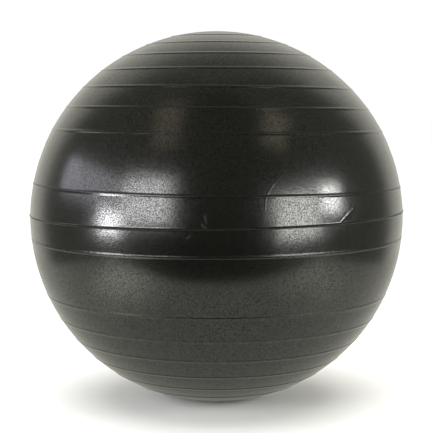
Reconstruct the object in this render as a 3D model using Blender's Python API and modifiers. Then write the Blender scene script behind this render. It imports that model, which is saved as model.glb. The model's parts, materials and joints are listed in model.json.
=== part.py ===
"""Exercise ball: a one-piece inflated shell, the valve sleeve moulded into it and its push-in air plug.

Metres, +Z up. The ball rests on a small flat patch, and the origin is the middle of that patch.
The rings run round the vertical axis. The valve is at the back, on the +Y side.
"""

import math

import bmesh
import bpy
from mathutils import Vector

# Ball
DIAMETER = 0.650
HEIGHT_RATIO = 0.9947  # an inflated ball sags a little, so its height is under its diameter
WALL = 0.0010
CONTACT_RADIUS = 0.045  # the patch that its own weight presses flat
SEGMENTS = 48
WIDEST_STEP = math.radians(8.0)  # between two rows of the turned profile

# Rings, as latitudes on the ball
RING_CENTRE = math.radians(2.1)  # the ring pattern is symmetrical about this latitude
SEAM_LATITUDE = math.radians(1.6)
EQUATOR_RING_OFFSET = math.radians(8.1)
POLAR_RING_START = math.radians(25.7)
POLAR_RING_PITCH = math.radians(8.04)
POLAR_RINGS = 7  # above and again below the smooth band
RING_HEIGHT = 0.0005
RING_HALF_WIDTH = 0.0036
SEAM_HEIGHT = 0.0014
SEAM_HALF_WIDTH = 0.0014

# Valve, measured along its own axis; depths run inwards from the ball's surface
VALVE_ELEVATION = math.radians(19.0)
VALVE_SIDES = 32
GAP = 0.0003  # between two pieces that touch on the real ball
BOSS_RADIUS = 0.0155
BOSS_DEPTH = 0.0060
RECESS_RADIUS = 0.0098
PLUG_HEAD_RADIUS = 0.0094
PLUG_HEAD_THICKNESS = 0.0020
PLUG_HEAD_DEPTH = 0.0004  # of the head's rim, so that the plug sits flush
PLUG_HEAD_CHAMFER = 0.0005
PLUG_CROWN = 0.0004
PLUG_STEM_RADIUS = 0.0036
PLUG_STEM_LENGTH = 0.0185
PLUG_RING_RADIUS = 0.0041
PLUG_RING_PITCH = 0.0040
PLUG_RING_TOP = 0.0005  # a ring's side towards the head is steep, so that it grips
PLUG_RING_LEAD = 0.0010
PLUG_RINGS = 3
PLUG_TIP_RADIUS = 0.0024
SLEEVE_RADIUS = 0.0060
SLEEVE_BORE_RADIUS = 0.0045
SLEEVE_FLANGE_RADIUS = 0.0130
SLEEVE_FLANGE_THICKNESS = 0.0016
SLEEVE_LENGTH = 0.0180
SLEEVE_END_RADIUS = 0.0054
RECESS_FLOOR = PLUG_HEAD_DEPTH + PLUG_HEAD_THICKNESS + GAP

# Edges sharper than these aren't shaded smooth
SHELL_SHARP_ANGLE = math.radians(55)
TURNED_SHARP_ANGLE = math.radians(30)

RADIUS = DIAMETER / 2
CENTRE_HEIGHT = RADIUS * HEIGHT_RATIO * math.sin(math.acos(CONTACT_RADIUS / RADIUS))
CONTACT_LATITUDE = -math.acos(CONTACT_RADIUS / RADIUS)


def clear_scene():
    for obj in list(bpy.data.objects):
        bpy.data.objects.remove(obj, do_unlink=True)


def make_collection(name):
    collection = bpy.data.collections.new(name)
    bpy.context.scene.collection.children.link(collection)
    return collection


def make_material(name, colour, roughness):
    material = bpy.data.materials.new(name)
    material.use_nodes = True
    shader = material.node_tree.nodes["Principled BSDF"]
    shader.inputs["Base Color"].default_value = (*colour, 1.0)
    shader.inputs["Roughness"].default_value = roughness
    shader.inputs["Metallic"].default_value = 0.0
    return material


def ball_point(latitude, offset=0.0):
    """(distance from the vertical axis, height) of a point of the ball's section, offset outwards."""
    across, up = math.cos(latitude), math.sin(latitude)
    return (RADIUS + offset) * across, CENTRE_HEIGHT + (RADIUS + offset) * HEIGHT_RATIO * up


def rings():
    """(latitude, half width as an angle, height) of every ring and of the mould seam, from the top down."""
    half_width = RING_HALF_WIDTH / RADIUS
    found = [(SEAM_LATITUDE, SEAM_HALF_WIDTH / RADIUS, SEAM_HEIGHT)]
    for side in (1, -1):
        found.append((RING_CENTRE + side * EQUATOR_RING_OFFSET, half_width, RING_HEIGHT))
        for number in range(POLAR_RINGS):
            offset = POLAR_RING_START + number * POLAR_RING_PITCH
            found.append((RING_CENTRE + side * offset, half_width, RING_HEIGHT))
    return sorted(found, reverse=True)


def filled_in(stations):
    """Stations (latitude, offset) from the top down, with more put between two that are far apart."""
    full = [stations[0]]
    for latitude, offset in stations[1:]:
        above = full[-1][0]
        steps = math.ceil((above - latitude) / WIDEST_STEP)
        full += [(above + (latitude - above) * step / steps, 0.0) for step in range(1, steps)]
        full.append((latitude, offset))
    return full


def outer_stations():
    stations = [(math.pi / 2, 0.0)]
    for latitude, half_width, height in rings():
        stations += [(latitude + half_width, 0.0), (latitude, height), (latitude - half_width, 0.0)]
    stations.append((CONTACT_LATITUDE, 0.0))
    return filled_in(stations)


def inner_stations():
    """The wall's inside follows the ball and not its rings, with one row behind each ring."""
    stations = [(math.pi / 2, 0.0)]
    stations += [(latitude, 0.0) for latitude, _, _ in rings()]
    stations.append((CONTACT_LATITUDE, 0.0))
    return filled_in(stations)


def outer_chain():
    points = [ball_point(latitude, offset) for latitude, offset in outer_stations()]
    return [(0.0, points[0][1])] + points[1:] + [(0.0, 0.0)]


def inward_chain(depth):
    """The ball's section at a depth under its surface, from the bottom up, so that it faces the axis."""
    points = [ball_point(latitude, -depth) for latitude, _ in inner_stations()[1:-1]]
    top = ball_point(math.pi / 2, -depth)[1]
    return [(0.0, depth), (CONTACT_RADIUS, depth)] + points[::-1] + [(0.0, top)]


def add_object(name, mesh, collection, material=None, parent=None):
    obj = bpy.data.objects.new(name, mesh)
    collection.objects.link(obj)
    obj.parent = parent
    if material:
        mesh.materials.append(material)
    return obj


def turned(name, chains, sides, collection, material=None, parent=None):
    """A solid turned about the local Z axis. A chain of (radius, height) at +X runs down its outer side."""
    vertices, edges = [], []
    for chain in chains:
        start = len(vertices)
        vertices += [(radius, 0.0, height) for radius, height in chain]
        edges += [(start + step, start + step + 1) for step in range(len(chain) - 1)]
    mesh = bpy.data.meshes.new(name)
    mesh.from_pydata(vertices, edges, [])
    obj = add_object(name, mesh, collection, material, parent)
    screw = obj.modifiers.new("Turn", "SCREW")
    screw.axis = "Z"
    screw.steps = sides
    screw.render_steps = sides
    screw.use_merge_vertices = True
    screw.merge_threshold = 0.00001
    screw.use_smooth_shade = True
    return obj


def closed_chain(points):
    """A ring's section, such as a tube's wall: the chain ends where it starts."""
    return points + points[:1]


def add_boolean(obj, cutter, operation):
    boolean = obj.modifiers.new(f"{operation.title()} {cutter.name}", "BOOLEAN")
    boolean.operation = operation
    boolean.solver = "EXACT"
    boolean.object = cutter


def make_form(obj):
    """A form shapes other pieces and isn't one itself."""
    obj.hide_render = True
    obj.display_type = "WIRE"


def cylinder_form(name, radius, top, bottom, collection, parent):
    """A cylinder on the valve's axis between two depths."""
    shape = bmesh.new()
    bmesh.ops.create_cone(
        shape,
        cap_ends=True,
        segments=VALVE_SIDES,
        radius1=radius,
        radius2=radius,
        depth=bottom - top,
    )
    bmesh.ops.translate(shape, verts=shape.verts, vec=(0.0, 0.0, -(top + bottom) / 2))
    mesh = bpy.data.meshes.new(name)
    shape.to_mesh(mesh)
    shape.free()
    form = add_object(name, mesh, collection, parent=parent)
    make_form(form)
    return form


def apply_modifiers(obj, sharp_angle):
    """The finished mesh, round faces shaded smooth and true edges kept sharp."""
    bpy.context.view_layer.update()
    evaluated = obj.evaluated_get(bpy.context.evaluated_depsgraph_get())
    mesh = bpy.data.meshes.new_from_object(evaluated)
    obj.modifiers.clear()
    obj.data = mesh
    mesh.shade_smooth()
    mesh.set_sharp_from_angle(angle=sharp_angle)


def make_valve_axis(collection):
    """An empty on the ball's surface whose local Z is the valve's axis, pointing out of the ball."""
    latitude = math.atan(HEIGHT_RATIO * math.tan(VALVE_ELEVATION))
    across, up = ball_point(latitude)
    axis = bpy.data.objects.new("valve_axis", None)
    axis.empty_display_size = 0.05
    axis.location = Vector((0.0, across, up))
    axis.rotation_euler = (VALVE_ELEVATION - math.pi / 2, 0.0, 0.0)
    collection.objects.link(axis)
    return axis


def make_shell(axis, collection, forms):
    """The wall, thickened into a boss round the valve, with a seat for the plug's head and a hole."""
    material = make_material("shell_pvc", (0.022, 0.022, 0.023), 0.36)
    shell = turned("shell", [outer_chain(), inward_chain(WALL)], SEGMENTS, collection, material)
    mid_wall = turned("mid_wall_form", [inward_chain(WALL / 2)[::-1]], SEGMENTS, forms)
    make_form(mid_wall)
    boss = cylinder_form("boss_form", BOSS_RADIUS, -BOSS_DEPTH, BOSS_DEPTH, forms, axis)
    add_boolean(boss, mid_wall, "INTERSECT")
    recess = cylinder_form("recess_form", RECESS_RADIUS, -BOSS_DEPTH, RECESS_FLOOR, forms, axis)
    hole = cylinder_form("hole_form", SLEEVE_RADIUS + GAP, 0.0, 2 * BOSS_DEPTH, forms, axis)
    add_boolean(shell, boss, "UNION")
    add_boolean(shell, recess, "DIFFERENCE")
    add_boolean(shell, hole, "DIFFERENCE")
    apply_modifiers(shell, SHELL_SHARP_ANGLE)


def make_sleeve(axis, collection):
    """A flanged tube bonded behind the boss, with a neck up to the plug's seat."""
    material = make_material("sleeve_pvc", (0.030, 0.030, 0.031), 0.45)
    flange_top = BOSS_DEPTH + GAP
    flange_bottom = flange_top + SLEEVE_FLANGE_THICKNESS
    section = [
        (SLEEVE_BORE_RADIUS, -RECESS_FLOOR),
        (SLEEVE_RADIUS, -RECESS_FLOOR),
        (SLEEVE_RADIUS, -flange_top),
        (SLEEVE_FLANGE_RADIUS, -flange_top),
        (SLEEVE_FLANGE_RADIUS, -flange_bottom),
        (SLEEVE_RADIUS, -flange_bottom),
        (SLEEVE_END_RADIUS, -flange_top - SLEEVE_LENGTH),
        (SLEEVE_BORE_RADIUS, -flange_top - SLEEVE_LENGTH),
    ]
    sleeve = turned("valve_sleeve", [closed_chain(section)], VALVE_SIDES, collection, material, axis)
    apply_modifiers(sleeve, TURNED_SHARP_ANGLE)


def make_plug(axis, collection):
    """A flat head with a slight crown, and a ringed stem that plugs the sleeve."""
    material = make_material("plug_plastic", (0.78, 0.77, 0.72), 0.40)
    head_bottom = PLUG_HEAD_DEPTH + PLUG_HEAD_THICKNESS
    rim = PLUG_HEAD_RADIUS - PLUG_HEAD_CHAMFER
    section = [
        (rim * share, PLUG_CROWN * (1 - share**2) - PLUG_HEAD_DEPTH) for share in (0.0, 0.5, 1.0)
    ]
    section += [
        (PLUG_HEAD_RADIUS, -PLUG_HEAD_DEPTH - PLUG_HEAD_CHAMFER),
        (PLUG_HEAD_RADIUS, -head_bottom),
        (PLUG_STEM_RADIUS, -head_bottom),
    ]
    for number in range(1, PLUG_RINGS + 1):
        depth = head_bottom + number * PLUG_RING_PITCH
        section += [
            (PLUG_STEM_RADIUS, -depth + PLUG_RING_TOP),
            (PLUG_RING_RADIUS, -depth),
            (PLUG_STEM_RADIUS, -depth - PLUG_RING_LEAD),
        ]
    section += [
        (PLUG_STEM_RADIUS, -head_bottom - PLUG_STEM_LENGTH + PLUG_STEM_RADIUS),
        (PLUG_TIP_RADIUS, -head_bottom - PLUG_STEM_LENGTH),
        (0.0, -head_bottom - PLUG_STEM_LENGTH),
    ]
    plug = turned("air_plug", [section], VALVE_SIDES, collection, material, axis)
    apply_modifiers(plug, TURNED_SHARP_ANGLE)


def main():
    clear_scene()
    collection = make_collection("exercise_ball")
    forms = make_collection("forms")
    axis = make_valve_axis(collection)
    make_shell(axis, collection, forms)
    make_sleeve(axis, collection)
    make_plug(axis, collection)


main()
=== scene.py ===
"""Exercise ball: the looks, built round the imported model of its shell, valve sleeve and air plug.

Metres, +Z up. An azimuth is 0 towards the camera's side (-Y), positive to the right (+X), and the
valve is at 180 degrees.
"""

import json
import math

import bmesh
import bpy
import numpy as np
from mathutils import Matrix, Quaternion, Vector


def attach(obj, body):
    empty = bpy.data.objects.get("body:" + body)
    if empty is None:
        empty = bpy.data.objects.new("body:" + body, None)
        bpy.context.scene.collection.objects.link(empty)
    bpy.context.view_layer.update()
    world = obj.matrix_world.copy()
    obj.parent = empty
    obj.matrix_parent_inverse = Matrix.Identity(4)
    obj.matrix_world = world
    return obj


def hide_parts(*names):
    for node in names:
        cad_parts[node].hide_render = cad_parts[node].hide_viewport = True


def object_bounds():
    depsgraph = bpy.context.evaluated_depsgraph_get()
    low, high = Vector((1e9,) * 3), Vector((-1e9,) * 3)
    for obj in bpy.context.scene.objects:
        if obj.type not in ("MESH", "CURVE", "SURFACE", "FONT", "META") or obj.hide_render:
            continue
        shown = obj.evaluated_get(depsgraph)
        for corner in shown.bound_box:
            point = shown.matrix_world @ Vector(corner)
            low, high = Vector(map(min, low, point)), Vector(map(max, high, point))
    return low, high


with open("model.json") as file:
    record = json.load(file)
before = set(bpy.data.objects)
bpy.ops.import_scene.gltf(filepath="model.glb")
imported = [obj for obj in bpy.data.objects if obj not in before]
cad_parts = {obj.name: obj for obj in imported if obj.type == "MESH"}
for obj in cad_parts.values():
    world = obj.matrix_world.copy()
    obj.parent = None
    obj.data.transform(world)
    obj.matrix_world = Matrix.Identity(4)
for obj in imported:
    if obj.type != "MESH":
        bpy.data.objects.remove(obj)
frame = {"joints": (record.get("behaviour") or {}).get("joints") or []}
CAD_LOW, CAD_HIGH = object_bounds()

# Ball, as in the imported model
SEAM_LATITUDE = math.radians(1.6)
SEAM_HEIGHT = 0.0014
RADIUS = (CAD_HIGH.x - CAD_LOW.x) / 2 / math.cos(SEAM_LATITUDE) - SEAM_HEIGHT
HEIGHT_RATIO = 0.9947
CONTACT_RADIUS = 0.045
CENTRE_HEIGHT = CAD_HIGH.z - RADIUS * HEIGHT_RATIO
CENTRE = Vector((0.0, 0.0, CENTRE_HEIGHT))
WALL = 0.0010

# Rings: the latitude that they are mirrored about, and how far from it they lie on both sides
RING_CENTRE = math.radians(2.1)
EQUATOR_RING_OFFSET = math.radians(8.1)
POLAR_RING_START = math.radians(25.7)
POLAR_RING_PITCH = math.radians(8.04)
POLAR_RINGS = 7
EQUATOR_RING_HEIGHTS = (0.0006, 0.0005)  # above the equator, and below it
EQUATOR_RING_HALF_WIDTH = 0.0036
POLAR_RING_HEIGHT = 0.0007
POLAR_RING_WIDTHS = (0.0027, 0.0056)  # of its steeper side towards the equator, and its other side
SHALLOW_RINGS = 2  # the lowest polar ones of the upper half
SHALLOW_RING_HEIGHT = 0.0006
SHALLOW_RING_HALF_WIDTH = 0.0038
SEAM_HALF_WIDTH = 0.0018
SEAM_BASE_HEIGHT = 0.0002  # of the wider swelling that the seam stands on
SEAM_BASE_HALF_WIDTH = 0.0036
RING_ROWS = (0.0, 0.25, 0.5, 0.75, 1.0, 1.15, 1.35)  # mesh rows beside a crest, in half widths

# The rings aren't quite level or evenly spaced: (latitude, how much the ring there rises to the
# left, how much higher all of it lies), in degrees
LEANS = (
    (-20.0, 0.0, 0.0),
    (-6.0, -0.25, 0.25),
    (1.6, -0.75, 0.32),
    (10.2, 0.6, 0.36),
    (27.8, 0.4, 0.48),
    (35.8, 0.45, 0.48),
    (44.0, 0.5, 0.1),
    (52.0, 0.0, 0.0),
)

# Matt lines along the seam and the rings beside it: the row of LEANS, how far the line lies above
# the crest and its half width, in metres, and the share of the gloss that it loses
MATT_LINES = (
    (1, 0.0018, 0.0016, 0.25),
    (2, 0.0, 0.0018, 0.70),
    (3, 0.0010, 0.0016, 0.45),
)

# Long shallow waves that leave the ball not quite round
WAVES = 9
WAVE_SEED = 7
WAVE_LENGTHS = (0.07, 0.19)
WAVE_HEIGHT = 0.00006
WAVE_POLE_FADE = (70.0, 80.0)  # latitudes between which they fade out, in degrees
WAVE_SEAM_FADE = (0.02, 0.12)  # distances from the seam between which they fade in, in radians

# Mesh of the outer skin
COLUMNS = 240
WIDEST_ROW_STEP = math.radians(1.5)
FINEST_STEP = 0.0007
SHORTEST_EDGE = 0.000005  # shorter ones, left where the seat is cut, are dissolved
SHELL_SHARP_ANGLE = math.radians(72)

# Fold marks left by the packing: three (azimuth, latitude) points that bend each path, in degrees,
# then its height and its half width in metres
FOLDS = (
    ((18.8, 16.4), (12.2, 11.4), (13.2, 6.5), 0.00012, 0.0018),
    ((13.2, 6.5), (12.4, 2.0), (11.0, -3.0), 0.00005, 0.0014),
    ((42.0, 6.6), (40.0, 5.6), (36.0, 2.6), 0.00040, 0.0018),
    ((-50.0, 35.0), (-57.0, 32.3), (-64.0, 28.8), 0.00020, 0.0012),
    ((-42.0, 27.0), (-30.0, 22.0), (-18.0, 16.5), 0.00012, 0.0012),
    ((118.0, 17.0), (124.0, 12.0), (126.0, 3.0), 0.00025, 0.0014),
    ((212.0, -12.0), (220.0, -8.0), (231.0, -9.5), 0.00020, 0.0013),
)
FOLD_POINTS = 60
FOLD_MESH_REACH = 1.5  # how far the finer mesh reaches beside a fold, in half widths

# Faint scuffs: azimuth and latitude of the middle, in degrees, half length and half width in
# metres, and the turn of the long side from level, in degrees
SCUFFS = (
    (-2.9, 4.7, 0.0100, 0.0032, 97.0),
    (-3.5, 2.8, 0.0080, 0.0028, 128.0),
    (-7.4, -0.2, 0.0080, 0.0022, 38.0),
    (76.0, -18.0, 0.0260, 0.0016, 24.0),
    (79.0, -21.0, 0.0180, 0.0012, 30.0),
    (150.0, 47.0, 0.0300, 0.0018, -35.0),
    (-118.0, 9.0, 0.0220, 0.0020, 62.0),
    (-150.0, -31.0, 0.0340, 0.0014, 12.0),
)

# Shell material. A pair is the number at the low end and at the high end of what drives it
SHELL_IOR = 1.54
SHELL_COLOUR = (0.0040, 0.0043, 0.0031)
PEBBLE_SCALE = 590.0
PEBBLE_HEIGHT = 0.000035
PEBBLE_FLANK = (0.15, 0.80)  # where its gloss falls away: from its middle, in pebble sizes
PEBBLE_SHINE = (0.6, 1.4)
PEBBLE_SPECULAR = (0.24, 0.88)
# painted shade: the shell's colour is darker in the gaps between pebbles and lighter on their tops
PEBBLE_PAINTED_SHADE = (0.4, 1.2)
PEBBLE_ROUGHNESS = (0.185, 0.235)
CLOUD_SCALE = 9.0
CLOUD_DETAIL = 5.0
CLOUD_ROUGHNESS = (-0.04, 0.04)
STREAK_SCALE = 140.0
SCUFF_ROUGHNESS = (0.0, 0.2)
SCUFF_SHADE = (0.0, 3.0)
MATT_ROUGHNESS = (0.0, 0.28)

# Moulded plastics
MOTTLE_SCALE = 260.0
MOTTLE_DETAIL = 6.0
MOTTLE_RANGE = (0.3, 0.7)
GRAIN_DETAIL = 3.0

# Valve, measured along its own axis; depths run inwards from the ball's surface
PLUG_LINE = frame["joints"][0]["axis"]
VALVE_ELEVATION = math.atan2(PLUG_LINE[2], PLUG_LINE[1])
VALVE_LATITUDE = math.atan(HEIGHT_RATIO * math.tan(VALVE_ELEVATION))
VALVE_SIDES = 96
GAP = 0.0003
PARTING_HEIGHT = 0.00006
ROUNDING_STEPS = 5
LONGEST_ROUNDING = 0.45  # the most of a side that the rounding of one of its corners may take

# Boss, collar and seat
CAVITY_ROWS = 49
CAVITY_SIDES = 96
BOSS_RADIUS = 0.0155
BOSS_DEPTH = 0.0060
BOSS_ROUNDING = 0.002
BOSS_SIDES = 64
COLLAR_RADIUS = 0.0180
COLLAR_HEIGHT = 0.0005
COLLAR_HALF_WIDTH = 0.0016
RECESS_RADIUS = 0.0098
RECESS_EDGE = 0.0007
RECESS_EDGE_STEPS = 6
RECESS_EDGE_START = 8  # degrees of its rounding left out beside the skin
RECESS_EDGE_RISE = 0.00002  # keeps the cutter's faces off the skin's
SEAT_CUTTER_MARGIN = BOSS_DEPTH * 4

# Finer mesh round the valve: a circle's radius, its finest step, and how far it reaches beside it
VALVE_CIRCLES = (
    (COLLAR_RADIUS, FINEST_STEP, 0.0022),
    (0.010, 0.0025, 0.012),
)
VALVE_CIRCLE_POINTS = 180

# Plug
PLUG_HEAD_RADIUS = 0.0094
PLUG_HEAD_THICKNESS = 0.0020
PLUG_HEAD_DEPTH = 0.0004
PLUG_HEAD_ROWS = 34
PLUG_CROWN = 0.0004
PLUG_EDGE = 0.0006
PLUG_EDGE_STEPS = 6
PLUG_ROUNDING = 0.0004
PLUG_GATE_RADIUS = 0.0011
PLUG_GATE_DEPTH = 0.0003
PLUG_GATE_SECTION = ((0.0, 0.4), (0.35, 0.45), (0.6, 1.0))  # shares of its radius and its depth
PLUG_GROOVE_RADIUS = 0.0064
PLUG_GROOVE_HALF_WIDTH = 0.0006
PLUG_GROOVE_DEPTH = 0.0003
PLUG_STEM_RADIUS = 0.0036
PLUG_STEM_LENGTH = 0.0185
PLUG_STEM_STEP = 0.0002
PLUG_RING_RADIUS = 0.0041
PLUG_RING_PITCH = 0.0040
PLUG_RING_BACK = 0.0009  # of its steeper side, towards the head
PLUG_RING_LEAD = 0.0014
PLUG_RINGS = 3
PLUG_TIP_START = 0.6  # ring pitches past the last ring
PLUG_TIP_RADIUS = 0.0024
PLUG_TIP_ROUNDING = 0.0003
PLUG_CORE_RADIUS = 0.0016
PLUG_CORE_DEPTH = 0.0110
PLUG_SHARP_ANGLE = math.radians(50)
RECESS_FLOOR = PLUG_HEAD_DEPTH + PLUG_HEAD_THICKNESS + GAP

# Sleeve
SLEEVE_RADIUS = 0.0060
SLEEVE_BORE_RADIUS = 0.0045
SLEEVE_FLANGE_RADIUS = 0.0130
SLEEVE_FLANGE_THICKNESS = 0.0016
SLEEVE_LENGTH = 0.0180
SLEEVE_END_RADIUS = 0.0054
SLEEVE_GROOVE_HALF_WIDTH = 0.0003
SLEEVE_GROOVE_DEPTH = 0.0002
SLEEVE_ROUNDING = 0.0005
SLEEVE_SHARP_ANGLE = math.radians(40)

# Camera
CAMERA_DISTANCE = 6.416 * RADIUS
CAMERA_ELEVATION = 5.33
SENSOR_WIDTH = 36.0
LENS = 98.2

# Softboxes: name, then azimuth, elevation, width and height as seen from the ball, in degrees,
# then radiance, colour, and roll in degrees
WHITE = (1.0, 1.0, 1.0)
SOFTBOX_DISTANCE = 2.0
SOFTBOXES = (
    ("left_softbox", -39.6, 12.0, 27.5, 22.0, 7.5, WHITE, 7.0),
    ("left_spill", -38.5, 12.0, 36.0, 31.0, 1.1, WHITE, 7.0),
    ("left_lamp", -60.5, 0.3, 13.5, 13.0, 24.0, (1.0, 1.0, 1.03), 0.0),
    ("left_panel", -81.5, 15.8, 42.0, 14.5, 2.75, (1.0, 0.97, 1.1), 0.0),
    ("right_softbox", 45.0, 3.6, 24.5, 23.0, 8.0, (1.0, 1.0, 0.95), 8.0),
    ("right_spill", 46.0, 4.5, 33.0, 31.0, 1.1, WHITE, 8.0),
    ("right_lamp", 66.6, 11.0, 12.0, 11.5, 22.5, (1.0, 1.0, 0.97), 0.0),
    ("left_window", -41.5, 53.0, 13.0, 27.0, 0.68, (1.15, 1.0, 0.72), 22.0),
    ("right_window", 47.5, 49.5, 12.0, 22.0, 0.85, (1.15, 1.0, 0.72), -40.0),
)
OVERHEAD_STRENGTH = 3.4
OVERHEAD_ANGLE = math.radians(70)

# Room round the ball, as radiance: a bright wall at the back, dim sides and a dark front. The wall's
# sides and the front fade over how far a direction's level part points back, from -1 to 1, the
# wall's top and the front's heights over its z, and the wall's darker middle over its y
ROOM_COLOUR = (1.0, 0.99, 0.88)
LEAST_LEVEL_PART = 0.001  # keeps the division by it safe straight above and below
WALL_LIGHT = 0.79
WALL_SIDE_FADE = (0.48, 0.75)
WALL_TOP_FADE = (0.62, 0.98)
WALL_TOP_SHARE = 0.1
WALL_MIDDLE_FADE = (0.93, 0.99)
WALL_MIDDLE_SHARE = 0.55
SIDE_LIGHT = 0.26
FRONT_FADE = (-0.95, -0.2)
FRONT_LIGHTS = (0.005, 0.12)  # low down, and high up
FRONT_HEIGHTS = (-0.4, 0.75)

# Floor and table top: half width, front edge and back edge
FLOOR_SIZE = (9.0, -9.0, 14.0)
FLOOR_COLOUR = (0.86, 0.86, 0.85)
FLOOR_DROP = 0.0005
TABLE_SIZE = (1.0, -0.67, 2.5)
TABLE_COLOUR = (0.12, 0.12, 0.11)
TABLE_RISE = 0.0002  # above the floor
MATT_SURFACE = 0.8  # roughness of both

# Table top's light, which only the ball's gloss sees, and which glows though it is no lamp: its
# colour, its even strength, and (middle, reach, radiance) of each lamp's painted pool of light and of
# the painted shadow below the ball
TABLE_LIGHT_COLOUR = (1.0, 1.0, 0.87)
TABLE_LIGHT = 0.62
TABLE_PAINTED_LIGHT_AND_SHADOW = (
    ((-0.55, -0.50, 0.0), 0.38, 1.7),
    ((0.60, -0.48, 0.0), 0.42, 0.8),
    ((0.0, 0.0, 0.0), 0.28, -0.35),
)


# ---------------------------------------------------------------- the ball's surface


def towards(azimuth, elevation):
    """The unit direction at an azimuth and an elevation in degrees."""
    a, e = math.radians(azimuth), math.radians(elevation)
    return Vector((math.sin(a) * math.cos(e), -math.cos(a) * math.cos(e), math.sin(e)))


def smoothstep(value, low, high):
    """0 up to low, 1 from high on, and smooth between them."""
    share = np.clip((value - low) / (high - low), 0.0, 1.0)
    return share * share * (3 - 2 * share)


def bead(distance, half_width, height):
    """A rounded bead: full height at its crest, and nothing at its feet."""
    inside = np.clip(distance / half_width, -1.0, 1.0)
    return height * (0.5 + 0.5 * np.cos(math.pi * inside))


def ring_crests():
    """(latitude, height, half width below the crest, half width above it) of the seam and rings."""
    rings = [
        (SEAM_LATITUDE, SEAM_HEIGHT - SEAM_BASE_HEIGHT, SEAM_HALF_WIDTH, SEAM_HALF_WIDTH),
        (SEAM_LATITUDE, SEAM_BASE_HEIGHT, SEAM_BASE_HALF_WIDTH, SEAM_BASE_HALF_WIDTH),
    ]
    for side, height in zip((1, -1), EQUATOR_RING_HEIGHTS):
        latitude = RING_CENTRE + side * EQUATOR_RING_OFFSET
        rings.append((latitude, height, EQUATOR_RING_HALF_WIDTH, EQUATOR_RING_HALF_WIDTH))
        for number in range(POLAR_RINGS):
            latitude = RING_CENTRE + side * (POLAR_RING_START + number * POLAR_RING_PITCH)
            if side == 1 and number < SHALLOW_RINGS:
                rings.append((latitude, SHALLOW_RING_HEIGHT, *[SHALLOW_RING_HALF_WIDTH] * 2))
            else:
                rings.append((latitude, POLAR_RING_HEIGHT, *POLAR_RING_WIDTHS[::side]))
    return rings


def ring_relief(latitude):
    """How far the seam and the rings stand out."""
    lift = np.zeros_like(latitude)
    for ring, height, below, above in ring_crests():
        distance = (latitude - ring) * RADIUS
        lift += bead(distance, np.where(distance < 0, below, above), height)
    return lift


def leaned(azimuth, latitude):
    """The latitude at which a point of the level ring pattern really lies."""
    stops, leans, rises = np.radians(LEANS).T
    lean = np.interp(latitude, stops, leans)
    return latitude + np.interp(latitude, stops, rises) - lean * np.sin(azimuth)


def wave_relief(ways):
    """Shallow waves over the whole ball, always the same ones."""
    random = np.random.default_rng(WAVE_SEED)
    lift = np.zeros(len(ways))
    for length in np.linspace(*WAVE_LENGTHS, WAVES):
        line = random.normal(size=3)
        line *= 2 * math.pi * RADIUS / length / np.linalg.norm(line)
        lift += np.sin(ways @ line + random.uniform(0, 2 * math.pi)) * length / WAVE_LENGTHS[0]
    return lift * WAVE_HEIGHT / math.sqrt(WAVES)


def fold_path(fold):
    """Points at most 3 mm apart along a fold mark, as (azimuth, latitude) rows in radians."""
    start, bend, end = (np.radians(point) for point in fold[:3])
    t = np.linspace(0.0, 1.0, FOLD_POINTS)[:, None]
    return (1 - t) ** 2 * start + 2 * t * (1 - t) * bend + t**2 * end


def distance_to_path(azimuth, latitude, path):
    """Each point's distance to the nearest of a path's points, and how far along the path that is."""
    across = (azimuth[:, None] - path[:, 0]) * np.cos(latitude)[:, None]
    up = latitude[:, None] - path[:, 1]
    apart = np.hypot(across, up) * RADIUS
    return apart.min(axis=1), apart.argmin(axis=1) / (len(path) - 1)


def near(azimuth, latitude, path, reach):
    """The numbers of the points inside a path's box, grown by twice a reach in metres."""
    margin = 2 * reach / RADIUS
    low, high = path.min(axis=0) - margin, path.max(axis=0) + margin
    return np.flatnonzero(
        (azimuth > low[0]) & (azimuth < high[0]) & (latitude > low[1]) & (latitude < high[1])
    )


def fold_relief(azimuth, latitude):
    """Fold marks are fine ridges that fade out at both ends."""
    lift = np.zeros(len(azimuth))
    for fold in FOLDS:
        path = fold_path(fold)
        height, half_width = fold[3:]
        inside = near(azimuth, latitude, path, half_width)
        apart, share = distance_to_path(azimuth[inside], latitude[inside], path)
        fade = np.sin(math.pi * np.clip(share, 0.0, 1.0)) ** 0.5
        lift[inside] += bead(apart, half_width, height) * fade
    return lift


def valve_distance(azimuth, latitude):
    """Distance from the valve's middle, over the surface."""
    across = (azimuth - math.pi) * math.cos(VALVE_LATITUDE)
    return np.hypot(across, latitude - VALVE_LATITUDE) * RADIUS


def surface(azimuth, latitude):
    """Points of the finished outer skin."""
    real = leaned(azimuth, latitude)
    ways = np.stack(
        [np.cos(real) * np.sin(azimuth), -np.cos(real) * np.cos(azimuth), np.sin(real)], axis=-1
    )
    lift = ring_relief(latitude) + fold_relief(azimuth, real)
    lift += bead(valve_distance(azimuth, real) - COLLAR_RADIUS, COLLAR_HALF_WIDTH, COLLAR_HEIGHT)
    sunk = wave_relief(ways)
    sunk -= sunk.max()
    poles = 1 - smoothstep(np.abs(np.degrees(real)), *WAVE_POLE_FADE)
    equator = smoothstep(np.abs(real - SEAM_LATITUDE), *WAVE_SEAM_FADE)
    points = ways * (RADIUS + lift + sunk * poles * equator)[:, None]
    points[:, 2] = np.maximum(points[:, 2] * HEIGHT_RATIO + CENTRE_HEIGHT, 0.0)
    return points


def row_latitudes():
    """Rows from the contact patch up to the top pole: close together across each ring."""
    contact = -math.acos(CONTACT_RADIUS / RADIUS)
    stops = {contact}
    for ring, _, below, above in ring_crests():
        for step in RING_ROWS:
            stops |= {ring - step * below / RADIUS, ring + step * above / RADIUS}
    stops = sorted(stops) + [math.pi / 2]
    rows = stops[:1]
    for latitude in stops[1:]:
        below = rows[-1]
        steps = math.ceil((latitude - below) / WIDEST_ROW_STEP)
        rows += [below + (latitude - below) * step / steps for step in range(1, steps + 1)]
    return rows[:-1]


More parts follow.
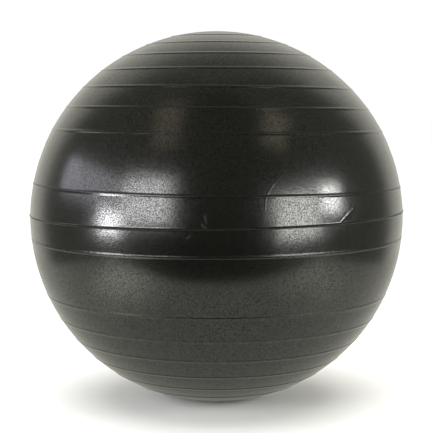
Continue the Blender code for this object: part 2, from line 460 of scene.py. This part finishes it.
def valve_circle(radius):
    """Points round the valve, as (azimuth, latitude) rows in radians."""
    turn = np.linspace(0.0, 2 * math.pi, VALVE_CIRCLE_POINTS)
    across = math.pi + radius / RADIUS * np.sin(turn) / math.cos(VALVE_LATITUDE)
    up = VALVE_LATITUDE + radius / RADIUS * np.cos(turn)
    return np.stack([across, up], axis=-1)


def flat_map():
    """The outer skin as a flat map of (azimuth, latitude) in radians, finer at fine detail."""
    rows = row_latitudes()
    shape = bmesh.new()
    azimuths = [-math.pi / 2 + 2 * math.pi * column / COLUMNS for column in range(COLUMNS)]
    grid = [[shape.verts.new((azimuth, row, 0.0)) for azimuth in azimuths] for row in rows]
    top = shape.verts.new((0.0, math.pi / 2, 0.0))
    for column in range(COLUMNS):
        following = (column + 1) % COLUMNS
        for below, above in zip(grid, grid[1:]):
            shape.faces.new((below[column], below[following], above[following], above[column]))
        shape.faces.new((grid[-1][column], grid[-1][following], top))
    shape.faces.new(list(reversed(grid[0])))
    details = [(fold_path(fold), FINEST_STEP, fold[4] * FOLD_MESH_REACH) for fold in FOLDS]
    details += [(valve_circle(radius), step, reach) for radius, step, reach in VALVE_CIRCLES]
    refine(shape, details)
    return shape


def refine(shape, details):
    """Halves the edges near each path, over and over, until none is longer than its finest step."""
    longest = 2 * math.pi * RADIUS / COLUMNS
    while longest > FINEST_STEP:
        shape.verts.index_update()
        place = np.array([vert.co[:2] for vert in shape.verts])
        edges = list(shape.edges)
        ends = np.array([(edge.verts[0].index, edge.verts[1].index) for edge in edges])
        middle = place[ends].mean(axis=1)
        across, up = (place[ends[:, 1]] - place[ends[:, 0]]).T
        length = np.hypot(across * np.cos(middle[:, 1]), up) * RADIUS
        within_map = length < 2 * WIDEST_ROW_STEP * RADIUS  # not an edge that closes the ring
        chosen = set()
        for path, finest, reach in details:
            inside = near(middle[:, 0], middle[:, 1], path, reach + longest)
            apart, _ = distance_to_path(middle[inside, 0], middle[inside, 1], path)
            close = (apart < reach + longest * 0.5) & (length[inside] > finest)
            chosen |= set(inside[close & within_map[inside]].tolist())
        bmesh.ops.subdivide_edges(
            shape, edges=[edges[number] for number in chosen], cuts=1, use_grid_fill=True
        )
        longest /= 2


# ---------------------------------------------------------------- mesh tools


def add_object(name, data):
    obj = bpy.data.objects.new(name, data)
    bpy.context.scene.collection.objects.link(obj)
    return obj


def turned_mesh(name, section, sides, parting=0.0):
    """A solid turned about Z from (radius, height) points, from the top's middle down its outer side.

    A moulded one can have a fine ridge, this high, along its two parting lines.
    """
    angles = np.arange(sides) * 2 * math.pi / sides
    vertices, loops = [], []
    for radius, height in section:
        if radius == 0:
            loops.append([len(vertices)])
            vertices.append((0.0, 0.0, height))
            continue
        loops.append(list(range(len(vertices), len(vertices) + sides)))
        around = np.full(sides, radius)
        around[[0, sides // 2]] += parting
        vertices += zip(around * np.cos(angles), around * np.sin(angles), np.full(sides, height))
    if len(loops[0]) > 1:
        loops.append(loops[0])
    faces = []
    for above, below in zip(loops, loops[1:]):
        for side in range(sides):
            after = (side + 1) % sides
            corners = [above[side % len(above)], below[side % len(below)]]
            corners += [below[after % len(below)], above[after % len(above)]]
            faces.append(list(dict.fromkeys(corners)))
    mesh = bpy.data.meshes.new(name)
    mesh.from_pydata(vertices, [], faces)
    mesh.shade_smooth()
    return mesh


def rounded(section, radius):
    """Rounds a section's corners off: a (radius, height, share) point takes share of the rounding."""
    smooth = []
    for number, point in enumerate(section):
        here = Vector(point[:2])
        share = point[2] if len(point) > 2 else 0.0
        if not share:
            smooth.append(tuple(here))
            continue
        before = Vector(section[number - 1][:2]) - here
        after = Vector(section[(number + 1) % len(section)][:2]) - here
        room = (before.length * LONGEST_ROUNDING, after.length * LONGEST_ROUNDING)
        reach = min(radius * share, *room)
        start, end = here + before.normalized() * reach, here + after.normalized() * reach
        for step in range(ROUNDING_STEPS + 1):
            t = step / ROUNDING_STEPS
            smooth.append(tuple((1 - t) ** 2 * start + 2 * t * (1 - t) * here + t**2 * end))
    return smooth


def apply_boolean(obj, cutter, operation):
    """Changes an object's mesh by a cutter, and removes the cutter."""
    boolean = obj.modifiers.new(cutter.name, "BOOLEAN")
    boolean.operation = operation
    boolean.solver = "MANIFOLD"
    boolean.object = cutter
    bpy.context.view_layer.update()
    evaluated = obj.evaluated_get(bpy.context.evaluated_depsgraph_get())
    mesh = bpy.data.meshes.new_from_object(evaluated)
    obj.modifiers.clear()
    obj.data = mesh
    bpy.data.objects.remove(cutter)


def onto_valve(mesh):
    """Moves a mesh turned about Z, with Z = 0 at the ball's surface, onto the valve's axis."""
    across = RADIUS * math.cos(VALVE_LATITUDE)
    up = CENTRE_HEIGHT + RADIUS * HEIGHT_RATIO * math.sin(VALVE_LATITUDE)
    turn = Vector((0, math.cos(VALVE_ELEVATION), math.sin(VALVE_ELEVATION))).to_track_quat("Z", "Y")
    mesh.transform(turn.to_matrix().to_4x4())
    mesh.transform(Matrix.Translation((0.0, across, up)))
    return mesh


# ---------------------------------------------------------------- node tools


def feed(tree, socket, value):
    """Links another node's output to a socket, or sets the socket to a plain value."""
    if isinstance(value, bpy.types.NodeSocket):
        tree.links.new(value, socket)
    else:
        socket.default_value = value


def combine(tree, operation, *values):
    node = tree.nodes.new("ShaderNodeMath")
    node.operation = operation
    for socket, value in zip(node.inputs, values):
        feed(tree, socket, value)
    return node.outputs[0]


def vector_math(tree, operation, first, second):
    node = tree.nodes.new("ShaderNodeVectorMath")
    node.operation = operation
    feed(tree, node.inputs[0], first)
    feed(tree, node.inputs[1], second)
    return node.outputs["Vector" if operation == "SUBTRACT" else "Value"]


def spread(tree, value, start, end, low=0.0, high=1.0, smooth=False):
    """A number that goes from start to end while the value goes from low to high."""
    node = tree.nodes.new("ShaderNodeMapRange")
    if smooth:
        node.interpolation_type = "SMOOTHSTEP"
    feed(tree, node.inputs["Value"], value)
    for key, number in zip(("From Min", "From Max", "To Min", "To Max"), (low, high, start, end)):
        node.inputs[key].default_value = number
    return node.outputs[0]


def noise(tree, place, scale, detail=2.0):
    node = tree.nodes.new("ShaderNodeTexNoise")
    node.inputs["Scale"].default_value = scale
    node.inputs["Detail"].default_value = detail
    feed(tree, node.inputs["Vector"], place)
    return node.outputs[0]


def mixed_colour(tree, share, first, second):
    node = tree.nodes.new("ShaderNodeMix")
    node.data_type = "RGBA"
    feed(tree, node.inputs[0], share)
    for socket, colour in zip(node.inputs[6:8], (first, second)):  # its two colours
        socket.default_value = (*colour, 1.0)
    return node.outputs[2]


def bumped(tree, height, depth, invert=False):
    node = tree.nodes.new("ShaderNodeBump")
    node.invert = invert
    node.inputs["Distance"].default_value = depth
    feed(tree, node.inputs["Height"], height)
    return node.outputs["Normal"]


def object_place(tree):
    return tree.nodes.new("ShaderNodeTexCoord").outputs["Object"]


def new_material(name):
    """A material, its node tree and its shader's sockets."""
    material = bpy.data.materials.new(name)
    material.use_nodes = True
    tree = material.node_tree
    return material, tree, tree.nodes["Principled BSDF"].inputs


# ---------------------------------------------------------------- materials


def scuff_mask(tree, place):
    """How strong the scuffs are: streaky patches that fade out towards their edges."""
    scuffs = 0.0
    for azimuth, latitude, length, width, turn in SCUFFS:
        middle = towards(azimuth, latitude)
        right = Vector((-middle.y, middle.x, 0.0)).normalized()
        up = middle.cross(right)
        turned = right * math.cos(math.radians(turn)) + up * math.sin(math.radians(turn))
        offset = vector_math(tree, "SUBTRACT", place, CENTRE + middle * RADIUS)
        apart = 0.0
        for line in (turned / length, middle.cross(turned) / width, middle / length):
            along = vector_math(tree, "DOT_PRODUCT", offset, line)
            apart = combine(tree, "ADD", apart, combine(tree, "MULTIPLY", along, along))
        scuffs = combine(tree, "MAXIMUM", scuffs, spread(tree, apart, 1.0, 0.0))
    return combine(tree, "MULTIPLY", scuffs, noise(tree, place, STREAK_SCALE))


def matt_mask(tree, place):
    """The share of the gloss that the matt lines lose."""
    matt = 0.0
    for row, above, half_width, loss in MATT_LINES:
        latitude, lean, rise = np.radians(LEANS[row])
        level = CENTRE_HEIGHT + RADIUS * HEIGHT_RATIO * math.sin(latitude + rise) + above
        height = vector_math(tree, "DOT_PRODUCT", place, (HEIGHT_RATIO * lean, 0.0, 1.0))
        below = spread(tree, height, 0.0, loss, level - half_width, level - half_width / 2)
        over = spread(tree, height, 1.0, 0.0, level + half_width / 2, level + half_width)
        matt = combine(tree, "MAXIMUM", matt, combine(tree, "MULTIPLY", below, over))
    return matt


def shell_material():
    """Black soft PVC: satin, with a pebble grain whose gaps hold painted shade, and faint dusty wear.
    """
    material, tree, shader = new_material("shell_pvc")
    shader["IOR"].default_value = SHELL_IOR
    place = object_place(tree)
    pebbles = tree.nodes.new("ShaderNodeTexVoronoi")
    pebbles.inputs["Scale"].default_value = PEBBLE_SCALE
    feed(tree, pebbles.inputs["Vector"], place)
    tone = tree.nodes.new("ShaderNodeSeparateColor")
    feed(tree, tone.inputs[0], pebbles.outputs["Color"])
    cloud = noise(tree, place, CLOUD_SCALE, CLOUD_DETAIL)
    scuffs = scuff_mask(tree, place)
    matt = matt_mask(tree, place)

    dust = spread(tree, scuffs, *SCUFF_ROUGHNESS)
    wear = combine(tree, "ADD", spread(tree, cloud, *CLOUD_ROUGHNESS), dust)
    wear = combine(tree, "ADD", wear, spread(tree, matt, *MATT_ROUGHNESS))
    grain = spread(tree, tone.outputs[0], *PEBBLE_ROUGHNESS)
    feed(tree, shader["Roughness"], combine(tree, "ADD", grain, wear))

    round_top = spread(tree, pebbles.outputs["Distance"], 1.0, 0.0, *PEBBLE_FLANK)
    shine = combine(tree, "MULTIPLY", round_top, spread(tree, tone.outputs[1], *PEBBLE_SHINE))
    gloss_left = spread(tree, matt, 1.0, 0.0)
    shine = combine(tree, "MULTIPLY", spread(tree, shine, *PEBBLE_SPECULAR), gloss_left)
    feed(tree, shader["Specular IOR Level"], shine)

    # Colour: painted shade, darker in the pebbles' gaps and lighter on their tops, and lighter where
    # the scuffs leave dust
    dust = spread(tree, scuffs, *SCUFF_SHADE)
    colour = tree.nodes.new("ShaderNodeVectorMath")
    colour.operation = "SCALE"
    colour.inputs[0].default_value = SHELL_COLOUR
    shade = combine(tree, "ADD", spread(tree, round_top, *PEBBLE_PAINTED_SHADE), dust)
    feed(tree, colour.inputs["Scale"], shade)
    feed(tree, shader["Base Color"], colour.outputs[0])

    relief = bumped(tree, pebbles.outputs["Distance"], PEBBLE_HEIGHT, invert=True)
    feed(tree, shader["Normal"], relief)
    return material


def moulded_material(name, dark, light, roughness, grain, depth):
    """A moulded plastic: mottled between two colours, with a fine grain and patchy gloss."""
    material, tree, shader = new_material(name)
    place = object_place(tree)
    mottle = noise(tree, place, MOTTLE_SCALE, MOTTLE_DETAIL)
    feed(tree, shader["Base Color"], mixed_colour(tree, mottle, dark, light))
    feed(tree, shader["Roughness"], spread(tree, mottle, *roughness, *MOTTLE_RANGE))
    feed(tree, shader["Normal"], bumped(tree, noise(tree, place, grain, GRAIN_DETAIL), depth))
    return material


def sleeve_material():
    return moulded_material(
        "sleeve_pvc",
        dark=(0.010, 0.010, 0.009),
        light=(0.022, 0.022, 0.020),
        roughness=(0.55, 0.40),
        grain=1500,
        depth=0.00006,
    )


def plug_material():
    return moulded_material(
        "plug_plastic",
        dark=(0.50, 0.49, 0.45),
        light=(0.70, 0.69, 0.65),
        roughness=(0.46, 0.30),
        grain=1100,
        depth=0.00005,
    )


def floor_material():
    material, _, shader = new_material("floor_white")
    shader["Base Color"].default_value = (*FLOOR_COLOUR, 1.0)
    shader["Roughness"].default_value = MATT_SURFACE
    return material


def table_material():
    """The table top as the ball's gloss sees it: an even glow, with painted pools of the lamps' light
    and a painted shadow below the ball.
    """
    material, tree, shader = new_material("table")
    shader["Base Color"].default_value = (*TABLE_COLOUR, 1.0)
    shader["Roughness"].default_value = MATT_SURFACE
    shader["Emission Color"].default_value = (*TABLE_LIGHT_COLOUR, 1.0)
    place = tree.nodes.new("ShaderNodeNewGeometry").outputs["Position"]
    light = TABLE_LIGHT
    # each lamp's painted pool of light adds to the glow; the last row is a painted shadow below the
    # ball
    for middle, reach, glare in TABLE_PAINTED_LIGHT_AND_SHADOW:
        apart = vector_math(tree, "DISTANCE", place, middle)
        fall = spread(tree, apart, glare, 0.0, 0.0, reach, smooth=True)
        light = combine(tree, "ADD", fall, light)
    feed(tree, shader["Emission Strength"], light)
    return material


# ---------------------------------------------------------------- pieces


def make_cavity():
    """The inside of the ball: round but for the valve's boss."""
    inner = RADIUS - WALL
    section = [(0.0, CENTRE_HEIGHT + inner * HEIGHT_RATIO)]
    contact = -math.acos(CONTACT_RADIUS / RADIUS)
    for latitude in np.linspace(math.pi / 2, contact, CAVITY_ROWS)[1:]:
        height = CENTRE_HEIGHT + inner * HEIGHT_RATIO * math.sin(latitude)
        section.append((inner * math.cos(latitude), max(height, WALL)))
    section.append((0.0, WALL))
    cavity = add_object("cavity_form", turned_mesh("cavity_form", section, CAVITY_SIDES))
    boss = [
        (0.0, BOSS_DEPTH),
        (BOSS_RADIUS, BOSS_DEPTH),
        (BOSS_RADIUS, -BOSS_DEPTH, 1.0),
        (0.0, -BOSS_DEPTH),
    ]
    boss_mesh = turned_mesh("boss_form", rounded(boss, BOSS_ROUNDING), BOSS_SIDES)
    apply_boolean(cavity, add_object("boss_form", onto_valve(boss_mesh)), "DIFFERENCE")
    cavity.data.flip_normals()
    return cavity


def seat_section():
    """The cutter for the plug's seat: a round edge at the surface, a recess and the sleeve's hole."""
    edge = RECESS_RADIUS + RECESS_EDGE
    fall = edge**2 / 2 / RADIUS
    section = [(0.0, BOSS_DEPTH), (edge + SEAT_CUTTER_MARGIN, BOSS_DEPTH)]
    for step in range(RECESS_EDGE_STEPS + 1):
        turn = RECESS_EDGE_START + (90 - RECESS_EDGE_START) * step / RECESS_EDGE_STEPS
        angle = math.radians(turn)
        height = -fall - RECESS_EDGE * (1 - math.cos(angle)) + RECESS_EDGE_RISE
        section.append((edge - RECESS_EDGE * math.sin(angle), height))
    hole = SLEEVE_RADIUS + GAP
    section += [(RECESS_RADIUS, -RECESS_FLOOR), (hole, -RECESS_FLOOR), (hole, -2 * BOSS_DEPTH)]
    section.append((0.0, -2 * BOSS_DEPTH))
    return section


def make_skin():
    """The outer skin, closed all round."""
    shape = flat_map()
    place = np.array([vert.co[:2] for vert in shape.verts])
    mesh = bpy.data.meshes.new("ball_shell")
    shape.to_mesh(mesh)
    shape.free()
    mesh.vertices.foreach_set("co", surface(place[:, 0], place[:, 1]).ravel())
    mesh.update()
    return add_object("ball_shell", mesh)


def make_shell():
    """The skin and the cavity as one closed mesh, with the plug's seat cut through both."""
    shell = make_skin()
    cavity = make_cavity()
    shape = bmesh.new()
    shape.from_mesh(shell.data)
    shape.from_mesh(cavity.data)
    shape.to_mesh(shell.data)
    shape.free()
    bpy.data.objects.remove(cavity)
    seat_mesh = turned_mesh("seat_form", seat_section(), VALVE_SIDES)
    apply_boolean(shell, add_object("seat_form", onto_valve(seat_mesh)), "DIFFERENCE")
    shape = bmesh.new()
    shape.from_mesh(shell.data)
    bmesh.ops.dissolve_degenerate(shape, edges=shape.edges, dist=SHORTEST_EDGE)
    shape.to_mesh(shell.data)
    shape.free()
    shell.data.shade_smooth()
    shell.data.set_sharp_from_angle(angle=SHELL_SHARP_ANGLE)
    shell.data.materials.clear()
    shell.data.materials.append(shell_material())
    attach(shell, "ball")
    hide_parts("shell")


def make_sleeve():
    """The tube that holds the plug: moulded black, and glued to the back of the boss by its flange."""
    flange_top = -BOSS_DEPTH - GAP
    flange_bottom = flange_top - SLEEVE_FLANGE_THICKNESS
    end = flange_top - SLEEVE_LENGTH
    groove = (SLEEVE_BORE_RADIUS + SLEEVE_RADIUS) / 2
    section = [
        (SLEEVE_BORE_RADIUS, -RECESS_FLOOR, 0.8),
        (groove - SLEEVE_GROOVE_HALF_WIDTH, -RECESS_FLOOR),
        (groove, -RECESS_FLOOR - SLEEVE_GROOVE_DEPTH, 0.5),
        (groove + SLEEVE_GROOVE_HALF_WIDTH, -RECESS_FLOOR),
        (SLEEVE_RADIUS, -RECESS_FLOOR, 0.8),
        (SLEEVE_RADIUS, flange_top),
        (SLEEVE_FLANGE_RADIUS, flange_top, 1.0),
        (SLEEVE_FLANGE_RADIUS, flange_bottom, 1.0),
        (SLEEVE_RADIUS, flange_bottom, 2.0),
        (SLEEVE_END_RADIUS, end, 1.0),
        (SLEEVE_BORE_RADIUS, end, 1.0),
    ]
    mesh = turned_mesh("sleeve", rounded(section, SLEEVE_ROUNDING), VALVE_SIDES, PARTING_HEIGHT)
    sleeve = add_object("sleeve", onto_valve(mesh))
    mesh.set_sharp_from_angle(angle=SLEEVE_SHARP_ANGLE)
    mesh.materials.append(sleeve_material())
    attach(sleeve, "ball")
    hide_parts("valve_sleeve")


def plug_head_section():
    """The plug's crowned head, from the gate mark in its middle to the foot of its rounded edge."""
    rim = PLUG_HEAD_RADIUS - PLUG_EDGE
    section = [
        (PLUG_GATE_RADIUS * across, -PLUG_GATE_DEPTH * down) for across, down in PLUG_GATE_SECTION
    ]
    for radius in np.linspace(PLUG_GATE_RADIUS, rim, PLUG_HEAD_ROWS):
        crown = PLUG_CROWN * (1 - (radius / rim) ** 2)
        groove = bead(radius - PLUG_GROOVE_RADIUS, PLUG_GROOVE_HALF_WIDTH, PLUG_GROOVE_DEPTH)
        section.append((radius, crown - PLUG_HEAD_DEPTH - groove))
    for step in range(1, PLUG_EDGE_STEPS + 1):
        angle = math.pi / 2 * step / PLUG_EDGE_STEPS
        height = -PLUG_HEAD_DEPTH - PLUG_EDGE * (1 - math.cos(angle))
        section.append((rim + PLUG_EDGE * math.sin(angle), height))
    return section


def plug_section():
    """The plug from the middle of its head, round its ringed stem and up its hollow core."""
    section = plug_head_section()
    head_bottom = -PLUG_HEAD_DEPTH - PLUG_HEAD_THICKNESS
    under = [
        (PLUG_HEAD_RADIUS, head_bottom, 1.0),
        (PLUG_STEM_RADIUS, head_bottom, 1.0),
        (PLUG_STEM_RADIUS, head_bottom - 0.5 * PLUG_RING_PITCH),
    ]
    section += rounded([section[-1], *under], PLUG_ROUNDING)[1:]
    first, last = -0.5 * PLUG_RING_PITCH, (PLUG_RINGS - 0.5) * PLUG_RING_PITCH
    for depth in np.arange(first, last + PLUG_STEM_STEP / 2, PLUG_STEM_STEP)[1:]:
        apart = depth - round(depth / PLUG_RING_PITCH) * PLUG_RING_PITCH
        reach = PLUG_RING_BACK if apart < 0 else PLUG_RING_LEAD
        ring = bead(apart, reach, PLUG_RING_RADIUS - PLUG_STEM_RADIUS)
        section.append((PLUG_STEM_RADIUS + ring, head_bottom - depth - PLUG_RING_PITCH))
    last_ring = head_bottom - PLUG_RINGS * PLUG_RING_PITCH
    stem_end = head_bottom - PLUG_STEM_LENGTH
    tip = [
        (PLUG_STEM_RADIUS, last_ring - PLUG_TIP_START * PLUG_RING_PITCH, 2.0),
        (PLUG_TIP_RADIUS, stem_end, 1.0),
        (PLUG_CORE_RADIUS, stem_end, 1.0),
        (PLUG_CORE_RADIUS, stem_end + PLUG_CORE_DEPTH, 2.0),
        (0.0, stem_end + PLUG_CORE_DEPTH),
    ]
    return section + rounded([section[-1], *tip], PLUG_TIP_ROUNDING)[1:]


def make_plug():
    """The push-in plug: off-white, and the only piece that moves."""
    mesh = turned_mesh("plug_body", plug_section(), VALVE_SIDES, PARTING_HEIGHT)
    plug = add_object("plug_body", onto_valve(mesh))
    mesh.set_sharp_from_angle(angle=PLUG_SHARP_ANGLE)
    mesh.materials.append(plug_material())
    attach(plug, "plug")
    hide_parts("air_plug")


# ---------------------------------------------------------------- studio


def make_camera():
    data = bpy.data.cameras.new("camera")
    data.sensor_width = SENSOR_WIDTH
    data.lens = LENS
    camera = add_object("camera", data)
    back = towards(0.0, CAMERA_ELEVATION)
    camera.location = CENTRE + back * CAMERA_DISTANCE
    camera.rotation_mode = "QUATERNION"
    camera.rotation_quaternion = back.to_track_quat("Z", "Y")
    bpy.context.scene.camera = camera


def add_softbox(name, azimuth, elevation, wide, high, radiance, colour, roll):
    """A softbox that faces the ball, from one row of SOFTBOXES."""
    width = 2 * SOFTBOX_DISTANCE * math.tan(math.radians(wide) / 2)
    height = 2 * SOFTBOX_DISTANCE * math.tan(math.radians(high) / 2)
    lamp = bpy.data.lights.new(name, "AREA")
    lamp.shape = "RECTANGLE"
    lamp.size = width
    lamp.size_y = height
    lamp.energy = radiance * math.pi * width * height
    lamp.color = colour
    softbox = add_object(name, lamp)
    way = towards(azimuth, elevation)
    softbox.location = CENTRE + way * SOFTBOX_DISTANCE
    softbox.rotation_mode = "QUATERNION"
    turn = way.to_track_quat("Z", "Y")
    turn.rotate(Quaternion(way, math.radians(roll)))
    softbox.rotation_quaternion = turn
    softbox.visible_camera = False


def room_light(tree):
    """How bright the room is in each direction."""
    split = tree.nodes.new("ShaderNodeSeparateXYZ")
    feed(tree, split.inputs[0], tree.nodes.new("ShaderNodeTexCoord").outputs["Generated"])
    x, y, z = split.outputs
    squares = [combine(tree, "MULTIPLY", part, part) for part in (x, y)]
    level = combine(tree, "SQRT", combine(tree, "ADD", *squares))
    level = combine(tree, "MAXIMUM", level, LEAST_LEVEL_PART)
    back = combine(tree, "DIVIDE", y, level)

    front = spread(tree, back, 1.0, 0.0, *FRONT_FADE, smooth=True)
    dim = spread(tree, z, *FRONT_LIGHTS, *FRONT_HEIGHTS, smooth=True)
    dim = combine(tree, "MULTIPLY", front, dim)
    sides = combine(tree, "MULTIPLY", combine(tree, "SUBTRACT", 1.0, front), SIDE_LIGHT)
    dim = combine(tree, "ADD", dim, sides)

    wall = spread(tree, back, 0.0, 1.0, *WALL_SIDE_FADE, smooth=True)
    wall_top = spread(tree, z, 1.0, WALL_TOP_SHARE, *WALL_TOP_FADE, smooth=True)
    wall = combine(tree, "MULTIPLY", combine(tree, "MULTIPLY", wall, wall_top), WALL_LIGHT)
    wall_middle = spread(tree, y, 1.0, WALL_MIDDLE_SHARE, *WALL_MIDDLE_FADE, smooth=True)
    return combine(tree, "MULTIPLY", combine(tree, "ADD", dim, wall), wall_middle)


def make_world():
    """The room that lights the ball, and plain white where the camera looks past the ball."""
    world = bpy.data.worlds.new("studio")
    bpy.context.scene.world = world
    world.use_nodes = True
    tree = world.node_tree
    tree.nodes.clear()
    seen = tree.nodes.new("ShaderNodeLightPath").outputs["Is Camera Ray"]
    strength = tree.nodes.new("ShaderNodeMix")
    strength.data_type = "FLOAT"
    feed(tree, strength.inputs[0], seen)
    for socket, light in zip(strength.inputs[2:4], (room_light(tree), 1.0)):  # its two numbers
        feed(tree, socket, light)
    background = tree.nodes.new("ShaderNodeBackground")
    feed(tree, background.inputs["Strength"], strength.outputs[0])
    feed(tree, background.inputs["Color"], mixed_colour(tree, seen, ROOM_COLOUR, WHITE))
    output = tree.nodes.new("ShaderNodeOutputWorld")
    feed(tree, output.inputs[0], background.outputs[0])


def add_floor(name, half_wide, front, back, material):
    mesh = bpy.data.meshes.new(name)
    corners = [(-half_wide, front), (half_wide, front), (half_wide, back), (-half_wide, back)]
    mesh.from_pydata([(x, y, -FLOOR_DROP) for x, y in corners], [], [(0, 1, 2, 3)])
    mesh.materials.append(material)
    floor = add_object(name, mesh)
    return floor


def make_floor():
    """A wide pale floor, and the smaller table top that only the ball's gloss sees."""
    wide = add_floor("floor", *FLOOR_SIZE, floor_material())
    wide.visible_glossy = False
    table = add_floor("table_reflection", *TABLE_SIZE, table_material())
    table.location.z = TABLE_RISE
    table.visible_camera = False
    table.visible_diffuse = False
    table.visible_shadow = False


def make_studio():
    make_world()
    make_floor()
    for softbox in SOFTBOXES:
        add_softbox(*softbox)
    sun = bpy.data.lights.new("overhead", "SUN")
    sun.energy = OVERHEAD_STRENGTH
    sun.angle = OVERHEAD_ANGLE
    overhead = add_object("overhead", sun)
    overhead.visible_glossy = False
    bpy.context.scene.view_settings.view_transform = "Standard"


make_camera()
make_shell()
make_sleeve()
make_plug()
make_studio()
